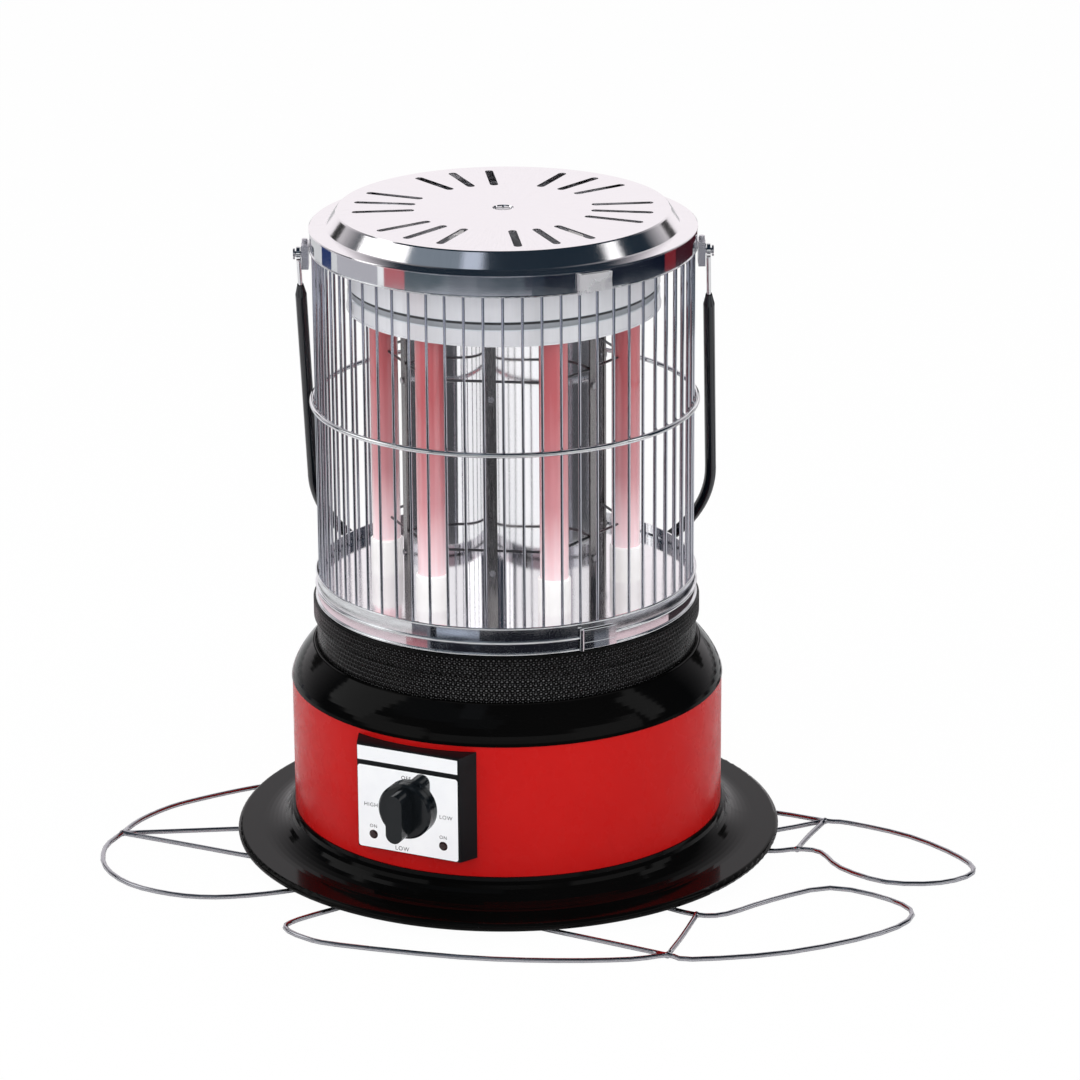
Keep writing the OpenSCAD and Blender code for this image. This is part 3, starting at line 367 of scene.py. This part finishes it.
def moulded(name, colour, roughness, grain=900, depth=0.02 * MM, shine=0.5):
    mat = new_material(name, colour, roughness=roughness, Specular_IOR_Level=shine)
    bump(mat, noise(mat, grain, 2), depth)
    vary_roughness(mat, noise(mat, 70, 4), roughness * 0.8, roughness * 1.3)
    return mat


def lens():
    return new_material("mat_lamp_red", (0.016, 0.004, 0.004), roughness=0.12, Coat_Weight=0.2,
        Specular_IOR_Level=0.3)


def bright_plate():
    """Bright anodised plate: white where it mirrors the studio, and it mirrors the knob."""
    mat = new_material("mat_panel_silver", (0.93, 0.94, 0.96), metallic=1, roughness=0.05)
    vary_colour(mat, noise(mat, 60, 3), (0.91, 0.92, 0.94), (0.95, 0.96, 0.97))
    vary_roughness(mat, noise(mat, 90, 4), 0.03, 0.07)
    return mat


def mirror():
    """Polished reflector sheet: nearly flat, with the faint waves and streaks of rolled sheet."""
    mat = new_material("mat_mirror", (0.93, 0.92, 0.94), metallic=1, roughness=0.07)
    bump(mat, noise(mat, 14, 1, (1, 1, 0.2)), 1.5 * MM, 0.5)
    vary_roughness(mat, noise(mat, 60, 3, (1, 1, 0.03)), 0.04, 0.10)
    vary_colour(mat, noise(mat, 30, 3, (1, 1, 0.15)), (0.86, 0.86, 0.89), (0.96, 0.95, 0.97))
    return mat


FINE, COARSE = 0.004 * MM, 0.06 * MM    # depths of moulded grain
BLACK, SOOT = (0.0025, 0.0024, 0.0023), (0.0015, 0.0015, 0.0015)
RED, DEEP_RED = (0.50, 0.0085, 0.0075), (0.46, 0.006, 0.006)

# the record's slots, and after them finishes of single pieces
MATERIALS = {
    "black_enamel": gloss_enamel("mat_black_enamel", BLACK, SOOT, roughness=0.09, shine=0.06),
    "black_mesh": satin_enamel(),
    "zinc": brushed_metal("mat_zinc", (0.55, 0.56, 0.58), 0.35, stretch=(1, 0.1, 1)),
    "rubber": moulded("mat_rubber", (0.02, 0.02, 0.02), 0.7, grain=500, depth=COARSE),
    "screw_steel": bright_metal("mat_screw_steel", (0.62, 0.62, 0.64), 0.22),
    "chrome": bright_metal("mat_chrome", (0.80, 0.81, 0.83), 0.05),
    "red_enamel": gloss_enamel("mat_red_enamel", RED, DEEP_RED, roughness=0.25, shine=0.07),
    "polished": turned_metal("mat_polished", (0.90, 0.88, 0.90), 0.09),
    "aluminised": aluminised_sheet(),
    "ear_steel": bright_metal("mat_ear_steel", (0.62, 0.61, 0.65), 0.2),
    "black_plastic": moulded("mat_black_plastic", (0.005, 0.0065, 0.008), 0.14, 1200, FINE, shine=0.25),
    "quartz": quartz(),
    "element": bright_metal("mat_element", (0.75, 0.3, 0.25), 0.4),
    "ceramic": ceramic(),
    "mirror": mirror(),
    "strip_steel": brushed_metal("mat_strip_steel", (0.32, 0.31, 0.31), 0.22, stretch=(1, 1, 0.05)),
    "panel_silver": bright_plate(),
    "phenolic": moulded("mat_phenolic", (0.6, 0.55, 0.42), 0.5),
    "lamp_red": lens(),
    "cage_wire": bright_metal("mat_cage_wire", (0.46, 0.47, 0.52), 0.06),
    "rig_wire": bright_metal("mat_rig_wire", (0.42, 0.42, 0.45), 0.09),
    "clip_steel": bright_metal("mat_clip_steel", (0.92, 0.90, 0.92), 0.26),
    "housing": moulded("mat_housing", (0.004, 0.005, 0.006), 0.38, 1200, FINE, shine=0.15),
    "sleeve": moulded("mat_sleeve", (0.004, 0.006, 0.009), 0.1, 1200, FINE),
    "liner": moulded("mat_liner", (0.3, 0.3, 0.31), 0.6, grain=300, shine=0.2),
    "tie_wire": bright_metal("mat_tie_wire", (0.16, 0.16, 0.17), 0.3),
    "print": moulded("mat_print", (0.02, 0.02, 0.022), 0.5, grain=1500, depth=0.005 * MM),
}


# ---------------------------------------------------------------- dressing the CAD nodes
OUTRIGGERS = ("outrigger_left", "outrigger_front", "outrigger_right")


def paint_frame():
    """Every CAD node takes the finish of its own slot, but for those that differ in the photograph."""
    for o in nodes.values():
        for place in o.material_slots:
            place.material = MATERIALS[place.material.name.split(".")[0]]
    own = {"tube_ties": "tie_wire", "cage_wires": "cage_wire", "handle_sleeve": "sleeve",
        "control_housing": "housing", "top_band_clip": "clip_steel", **dict.fromkeys(OUTRIGGERS, "rig_wire")}
    for name, finish in own.items():
        nodes[name].material_slots[0].material = MATERIALS[finish]


def round_edges(node, width):
    """A small rounding on a moulded part's sharp edges, so that they catch the light."""
    bevel = nodes[node].modifiers.new("rounded", "BEVEL")
    bevel.width = width
    bevel.segments = 3
    bevel.limit_method = "ANGLE"
    bevel.angle_limit = math.radians(40)
    bevel.harden_normals = True
    nodes[node].modifiers.new("shaded", "WEIGHTED_NORMAL").keep_sharp = True


def smooth_skin():
    """A modifier that welds a faceted wire's skin and shades it round."""
    group = bpy.data.node_groups.new("smooth_skin", "GeometryNodeTree")
    for way in ("INPUT", "OUTPUT"):
        group.interface.new_socket("Geometry", in_out=way, socket_type="NodeSocketGeometry")
    start = group.nodes.new("NodeGroupInput")
    weld = group.nodes.new("GeometryNodeMergeByDistance")
    weld.inputs["Distance"].default_value = 0.01 * MM
    chain = [start, weld]
    for attribute in ("custom_normal", "sharp_edge"):
        without = group.nodes.new("GeometryNodeRemoveAttribute")
        without.inputs["Name"].default_value = attribute
        chain.append(without)
    chain.append(group.nodes.new("GeometryNodeSetShadeSmooth"))
    chain.append(group.nodes.new("NodeGroupOutput"))
    for a, b in zip(chain, chain[1:]):
        group.links.new(a.outputs[0], b.inputs[0])
    return group


def round_wires():
    group = smooth_skin()
    for name in OUTRIGGERS:
        nodes[name].modifiers.new("round", "NODES").node_group = group


# ---------------------------------------------------------------- meshes
def mesh_piece(name, verts, faces, finish, sharp=35):
    """A piece of the heater from its points and faces; edges sharper than that many degrees stay sharp."""
    data = bpy.data.meshes.new(name)
    data.from_pydata(verts, [], faces)
    data.validate()
    tidy = bmesh.new()
    tidy.from_mesh(data)
    bmesh.ops.remove_doubles(tidy, verts=tidy.verts, dist=0.001 * MM)
    bmesh.ops.recalc_face_normals(tidy, faces=tidy.faces)
    tidy.to_mesh(data)
    tidy.free()
    piece = new_object(name, data)
    data.materials.append(MATERIALS[finish])
    data.shade_smooth()
    data.set_sharp_from_angle(angle=math.radians(sharp))
    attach(piece, "heater")
    return piece


def lathe(name, outline, finish):
    """A turned piece from a closed outline of (radius, height) points."""
    steps, count = 360, len(outline)
    verts = [polar(r, 360 * i / steps, z) for i in range(steps) for r, z in outline]
    faces = []
    for i in range(steps):
        here, beyond = i * count, (i + 1) % steps * count
        for k in range(count):
            m = (k + 1) % count
            faces.append((here + k, here + m, beyond + m, beyond + k))
    return mesh_piece(name, verts, faces, finish)


# ---------------------------------------------------------------- the perforated neck
def neck_radius(z):
    """The neck's radius, with its smooth flare to the collar."""
    t = min(max((z - COLLAR_FOOT) / FLARE, 0), 1)
    return NECK_R + (COLLAR_R - NECK_R) * (t * t * (3 - 2 * t))


def pierced_cell(verts, faces, azimuth, z):
    """One round hole with its wall, in its own rectangle of sheet."""
    corners, wall = 12, 0.9 * MM
    rim, inner, outer = [], [], []
    for c in range(corners):
        t = 2 * math.pi * c / corners
        across, up = math.cos(t), math.sin(t)
        reach = max(abs(across), abs(up))
        hole = azimuth + math.degrees(HOLE_R * across / NECK_R), z + HOLE_R * up
        sheet = azimuth + 180 / HOLES_ROUND * across / reach, z + ROW_STEP / 2 * up / reach
        for ring, (turn, level), depth in ((rim, hole, 0), (inner, hole, wall), (outer, sheet, 0)):
            ring.append(len(verts))
            verts.append(polar(neck_radius(level) - depth, turn, level))
    for c in range(corners):
        d = (c + 1) % corners
        faces.append((outer[c], outer[d], rim[d], rim[c]))
        faces.append((rim[c], rim[d], inner[d], inner[c]))


def add_neck():
    """Staggered rows of round holes over the neck and its collar, with a lip, an edge and a liner."""
    verts, faces = [], []
    for row in range(HOLE_ROWS):
        for k in range(HOLES_ROUND):
            azimuth = 360 * (k + row % 2 / 2) / HOLES_ROUND
            pierced_cell(verts, faces, azimuth, FIRST_ROW + row * ROW_STEP)
    band = mesh_piece("neck_perforated_band", verts, faces, "black_mesh", sharp=50)

    low, top = FIRST_ROW - ROW_STEP / 2, NECK_HIGH.z
    high = low + HOLE_ROWS * ROW_STEP
    lip, sheet, ledge = 1.2 * MM, 1 * MM, 5 * MM
    lathe("neck_upper_lip", [
        (COLLAR_R, high), (COLLAR_R, top - lip), (COLLAR_R - lip / 3, top - lip / 4), (COLLAR_R - lip, top),
        (NECK_R - ledge, top), (NECK_R - ledge, top - sheet), (COLLAR_R - lip - 0.4 * sheet, top - sheet),
        (COLLAR_R - sheet, high)], "black_mesh")
    lathe("neck_lower_edge", [
        (NECK_R, low), (NECK_R, NECK_LOW.z), (NECK_R - sheet, NECK_LOW.z),
        (NECK_R - sheet, low)], "black_mesh")
    outside, inside = NECK_R - 1.5 * MM, NECK_R - 2.3 * MM
    liner = lathe("neck_liner", [
        (outside, NECK_LOW.z), (outside, top - lip), (inside, top - lip), (inside, NECK_LOW.z)], "liner")
    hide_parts("neck_grille")


# ---------------------------------------------------------------- reflectors
def trough(name, azimuth):
    """A smooth trough of parabolic section behind a lamp, from the tray up to the lamp plate."""
    vertex_r, cusp_r = 52.3 * MM, 73 * MM    # its middle and its edges, from the axis
    sheet, gap = 0.8 * MM, 0.1 * MM
    steps = 40
    lean = math.radians(180 / LAMPS)
    half = cusp_r * math.sin(lean) - gap
    depth = cusp_r * math.cos(lean) - vertex_r
    verts, faces = [], []
    for reach, back in ((half, 0), (half - sheet * math.tan(lean) - gap, sheet)):
        for level in (TRAY_TOP, LAMP_PLATE_Z):
            for k in range(steps + 1):
                side = (k / steps * 2 - 1) * reach
                verts.append(facing(azimuth, vertex_r + depth * (side / half) ** 2 - back, side, level))
    row = steps + 1
    for near, far in ((0, row), (2 * row, 3 * row), (0, 2 * row), (row, 3 * row)):
        faces += [(near + k, near + k + 1, far + k + 1, far + k) for k in range(steps)]
    for k in (0, steps):
        faces.append((k, row + k, 3 * row + k, 2 * row + k))
    return mesh_piece(name, verts, faces, "mirror", sharp=30)


def add_reflectors():
    for i in range(LAMPS):
        piece = trough(f"reflector_trough_{i + 1}", LAMP_TURN + 360 / LAMPS * i)
        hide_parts(f"reflector_{i + 1}")


# ---------------------------------------------------------------- hoop welds
def hoop_weld(verts, faces, azimuth):
    """A flattened blob where the upright wire at that azimuth meets the hoop."""
    half_width, half_depth, half_height = 1.5 * MM, 1.1 * MM, 1.9 * MM
    hoop_z, wire_r = (HOOP_LOW.z + HOOP_HIGH.z) / 2, 1.75 * MM
    hoop_r = HOOP_HIGH.x - wire_r
    centre_r = hoop_r - 1.6 * MM    # between the hoop and the uprights inside it
    rings, spokes = 6, 10
    start = len(verts)
    for i in range(rings + 1):
        for j in range(spokes):
            lat, lon = math.pi * (i / rings - 0.5), 2 * math.pi * j / spokes
            turn = math.degrees(half_width * math.cos(lat) * math.cos(lon) / hoop_r)
            radius = centre_r + half_depth * math.cos(lat) * math.sin(lon)
            verts.append(polar(radius, azimuth + turn, hoop_z + half_height * math.sin(lat)))
    for i in range(rings):
        for j in range(spokes):
            a, b = start + i * spokes + j, start + i * spokes + (j + 1) % spokes
            faces.append((a, b, b + spokes, a + spokes))


def add_hoop_welds():
    verts, faces = [], []
    for k in range(WIRES):
        hoop_weld(verts, faces, WIRE_TURN + 360 * k / WIRES)
    mesh_piece("hoop_welds", verts, faces, "chrome", sharp=80)


# ---------------------------------------------------------------- panel printing
def panel_word(name, word, across, up, size):
    """A word printed on the panel, its middle that far to the right of the panel's axis."""
    lift, ink = 0.02 * MM, 0.03 * MM
    data = bpy.data.curves.new(name, "FONT")
    data.body = word
    data.size = size
    data.align_x = "CENTER"
    data.align_y = "CENTER"
    data.extrude = ink
    data.space_character = 1.15
    data.materials.append(MATERIALS["print"])
    piece = new_object(name, data)
    right, out = facing(PANEL_AZ, 0, 1, 0), facing(PANEL_AZ, 1, 0, 0)
    place = Matrix((right, Vector((0, 0, 1)), out)).transposed().to_4x4()
    place.translation = facing(PANEL_AZ, PANEL_D + lift, across, up)
    piece.matrix_world = place
    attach(piece, "heater")


def add_labels():
    """The dial's words, in plain terms."""
    panel_word("label_off", "OFF", -1.0 * MM, 97.9 * MM, 3.8 * MM)
    panel_word("label_high", "HIGH", -27.6 * MM, 74.7 * MM, 3.9 * MM)
    panel_word("label_low_right", "LOW", 28.2 * MM, 74.2 * MM, 3.9 * MM)
    panel_word("label_low_below", "LOW", -4.7 * MM, 46.4 * MM, 4.2 * MM)
    panel_word("label_lamp_left", "ON", -26 * MM, 59.4 * MM, 3.4 * MM)
    panel_word("label_lamp_right", "ON", 26 * MM, 59.6 * MM, 3.4 * MM)


# ---------------------------------------------------------------- studio helpers
def stage_plane(name, size, place, mat):
    bpy.ops.mesh.primitive_plane_add(size=1, location=place)
    o = bpy.context.object
    o.name = name
    o.scale = (size[0], size[1], 1)
    o.data.materials.append(mat)
    return o


def white_ground():
    """Plain white floor: the camera sees it bright, and it keeps some of the object's shadow."""
    mat = new_material("mat_floor", (0.92, 0.92, 0.92), roughness=0.9)
    glow = add(mat, "ShaderNodeEmission")
    path = add(mat, "ShaderNodeLightPath")
    share = maths(mat, "MULTIPLY", path.outputs["Is Camera Ray"], 0.98)
    both = mix(mat, share, shader_of(mat).outputs[0], glow.outputs[0])
    link(mat, both, mat.node_tree.nodes["Material Output"].inputs["Surface"])
    return mat


def card_paint(name, colour):
    """A plain glow of that colour: a soft box where it is bright, a flag where it is dark."""
    mat = bpy.data.materials.new("mat_" + name)
    mat.use_nodes = True
    mat.node_tree.nodes.clear()
    glow = add(mat, "ShaderNodeEmission")
    glow.inputs["Color"].default_value = (*colour, 1)
    out = add(mat, "ShaderNodeOutputMaterial")
    link(mat, glow.outputs[0], out.inputs["Surface"])
    return mat


def only_mirrored(o):
    """Leaves the object to be seen in shiny surfaces alone."""
    o.visible_camera = False
    o.visible_diffuse = False
    o.visible_shadow = False
    o.visible_transmission = False


def reflected_card(name, place, size, colour):
    """A card that hangs in the room and is turned to the heater."""
    o = stage_plane(name, size, place, card_paint(name, colour))
    o.rotation_mode = "QUATERNION"
    o.rotation_quaternion = (CARD_AIM - Vector(place)).to_track_quat("Z", "Y")
    only_mirrored(o)


def floor_mirrored(r, azimuth, z):
    """The floor point that the viewer sees mirrored in an upright ring of radius r."""
    point = polar(r, azimuth, z)
    normal = polar(1, azimuth, 0)
    ray = point - EYE
    ray -= 2 * ray.dot(normal) * normal
    return point - ray * (point.z / ray.z)


def floor_arc(name, r, low, high, start, end, colour, layer=0):
    """A card on the floor, cut to show in a ring of radius r from low to high between two azimuths."""
    steps, height = 24, (2 + layer) * MM
    angles = [start + (end - start) * k / steps for k in range(steps + 1)]
    spots = [floor_mirrored(r, a, z) for z in (low, high) for a in angles]
    faces = [(k, k + 1, k + steps + 2, k + steps + 1) for k in range(steps)]
    data = bpy.data.meshes.new(name)
    data.from_pydata([(spot.x, spot.y, height) for spot in spots], [], faces)
    data.materials.append(card_paint(name, colour))
    o = new_object(name, data)
    only_mirrored(o)


def rim_arc(name, low, high, start, end, colour, layer=0):
    """A floor card for the lower rim; low and high are in millimetres above its foot."""
    floor_arc(name, RIM_HIGH.x, RIM_LOW.z + low * MM, RIM_LOW.z + high * MM, start, end, colour, layer)


def drum_arc(name, start, end, colour):
    floor_arc(name, DRUM_HIGH.x, DRUM_LOW.z - 5.5 * MM, DRUM_HIGH.z - 5 * MM, start, end, colour)


def band_arc(name, start, end, colour):
    """A floor card for the top band; it runs on past the band's upper edge."""
    floor_arc(name, BAND_HIGH.x, BAND_LOW.z - 2.1 * MM, BAND_HIGH.z + 79.4 * MM, start, end, colour)


def area_light(name, place, size, power):
    """A soft lamp that lights the object but isn't mirrored in it."""
    data = bpy.data.lights.new(name, "AREA")
    data.shape = "RECTANGLE"
    data.size, data.size_y = size
    data.energy = power
    lamp = new_object(name, data)
    lamp.location = place
    lamp.rotation_mode = "QUATERNION"
    lamp.rotation_quaternion = (LAMP_AIM - Vector(place)).to_track_quat("-Z", "Y")
    lamp.visible_glossy = False


# ---------------------------------------------------------------- studio
def add_world():
    """Even soft light; shiny surfaces see white behind the object and a dark room in front."""
    world = bpy.data.worlds.new("studio")
    bpy.context.scene.world = world
    world.use_nodes = True
    even = world.node_tree.nodes["Background"]
    even.inputs["Color"].default_value = (0.97, 0.98, 1.0, 1)
    even.inputs["Strength"].default_value = 0.52
    coords = add(world, "ShaderNodeTexCoord")
    split = add(world, "ShaderNodeSeparateXYZ")
    link(world, coords.outputs["Generated"], split.inputs["Vector"])
    front_to_back = [(0.4, (0.012, 0.022, 0.034)), (0.88, (1.0, 0.96, 0.985))]
    room = add(world, "ShaderNodeBackground")
    link(world, ramp(world, split.outputs["Y"], front_to_back), room.inputs["Color"])
    white = add(world, "ShaderNodeBackground")
    white.inputs["Color"].default_value = (1, 1, 1, 1)
    path = add(world, "ShaderNodeLightPath")
    direct = maths(world, "LESS_THAN", path.outputs["Diffuse Depth"], 0.5)
    mirrored = maths(world, "MULTIPLY", path.outputs["Is Glossy Ray"], direct)
    shiny = mix(world, mirrored, even.outputs[0], room.outputs[0])
    seen = mix(world, path.outputs["Is Camera Ray"], shiny, white.outputs[0])
    link(world, seen, world.node_tree.nodes["World Output"].inputs["Surface"])


def add_soft_boxes():
    """The bright cards and dark flags round the heater."""
    dark = (0.03, 0.03, 0.03)
    reflected_card("soft_box_left", (-1.9, 0.2, 1.4), (1.15, 1.5), (1.5, 1.5, 1.5))
    reflected_card("soft_box_right", (2.08, -0.22, 1.3), (0.5, 1.4), (1.4, 1.4, 1.4))
    reflected_card("soft_box_front", (0, -3.4, 1.5), (6.0, 0.9), (0.9, 0.9, 0.9))
    reflected_card("soft_side_left", (-2.5, -1.15, 1.05), (2.2, 1.1), (1, 1, 1))
    reflected_card("soft_side_right", (2.2, -1.6, 1.1), (2.0, 1.1), (1, 1, 1))
    reflected_card("flag_back_left", (-1.67, 1.86, 0.78), (0.4, 0.55), dark)
    reflected_card("flag_back_right", (1.67, 1.86, 0.78), (0.4, 0.55), dark)
    reflected_card("ceiling_glow", (-1.2, -1.34, 2.31), (2.6, 0.8), (0.19, 0.23, 0.27))
    reflected_card("bevel_glint", (-0.68, -1.39, 2.4), (0.45, 0.6), (0.5, 0.56, 0.66))


def add_rim_arcs():
    """What the lower rim mirrors: dark in front, pink and pale with dark lines at the sides."""
    black, shade = (0.012, 0.013, 0.018), (0.16, 0.17, 0.2)
    rim_arc("rim_front", -30, 21, -23, 26, black)
    rim_arc("rim_shade_left", -30, 21, -29, -23, shade)
    rim_arc("rim_shade_right", -30, 21, 26, 31, shade)
    rim_arc("rim_glint", 10.5, 15.5, -21, -8, (0.5, 0.56, 0.68), layer=1)
    rim_arc("rim_upper_right", 8.6, 21, 24, 86, black, layer=1)
    rim_arc("rim_line_right", 13, 15, 30, 86, (0.85, 0.84, 0.9), layer=2)
    rim_arc("rim_line_low_left", 10, 11.6, -86, -24, black, layer=1)
    rim_arc("rim_line_high_left", 16, 18, -86, -24, black, layer=1)
    rim_arc("rim_pink_left", -12, 7.6, -84, -31, (0.86, 0.70, 0.74), layer=1)
    rim_arc("rim_red_left", -12, 7.6, -31, -24, (0.5, 0.2, 0.23), layer=1)
    rim_arc("rim_line_left", 3.4, 4.8, -84, -22, black, layer=2)
    rim_arc("rim_pink_right", -12, 7.6, 31, 57, (0.8, 0.62, 0.66), layer=1)
    rim_arc("rim_line_pink", 3.6, 4.8, 31, 86, black, layer=2)
    rim_arc("rim_low_right", -12, 7.6, 57, 86, (0.05, 0.035, 0.04), layer=1)


def add_upper_arcs():
    """What the troughs, the upper drum and the top band mirror."""
    trough_r, trough_low, trough_high = 100 * MM, 213 * MM, 379 * MM
    floor_arc("flag_troughs", trough_r, trough_low, trough_high, -37, 15, (0.065, 0.066, 0.072))
    drum_arc("drum_left", -75, -25, (0.45, 0.46, 0.5))
    drum_arc("drum_middle", -25, 8, (0.75, 0.76, 0.85))
    drum_arc("drum_right", 8, 75, (0.13, 0.16, 0.19))
    band_arc("band_blue", -67.2, -60.4, (0.03, 0.05, 0.15))
    band_arc("band_pale", -57, -39, (0.5, 0.49, 0.53))
    band_arc("band_red", -36.7, -29.6, (0.5, 0.13, 0.15))
    band_arc("band_slate", -29.6, -15.6, (0.09, 0.115, 0.135))
    band_arc("band_dusk", -15.6, 6, (0.045, 0.062, 0.08))
    band_arc("band_night", 6, 11.6, (0.02, 0.028, 0.045))
    band_arc("band_navy", 11.6, 54.3, (0.006, 0.009, 0.02))
    band_arc("band_wine", 54.3, 60.4, (0.2, 0.022, 0.03))
    band_arc("band_maroon", 60.4, 88, (0.05, 0.011, 0.018))


def add_studio():
    stage_plane("floor", (14, 14), (0, 0, -0.6 * MM), white_ground())
    add_soft_boxes()
    add_rim_arcs()
    add_upper_arcs()
    area_light("key_left", (-1.9, -1.5, 1.5), (1.2, 1.8), 24)
    area_light("fill_right", (2.1, -1.0, 1.1), (0.7, 1.6), 12)
    area_light("top_soft", (0, -0.2, 2.4), (1.8, 1.8), 16)
    area_light("front_soft", (0.3, -3.2, 1.6), (1.6, 1.2), 26)
    add_world()
    bpy.context.scene.view_settings.view_transform = "Standard"


add_camera()
paint_frame()
round_wires()
round_edges("knob", 0.7 * MM)
round_edges("control_housing", 0.4 * MM)
add_neck()
add_reflectors()
add_hoop_welds()
add_labels()
add_studio()
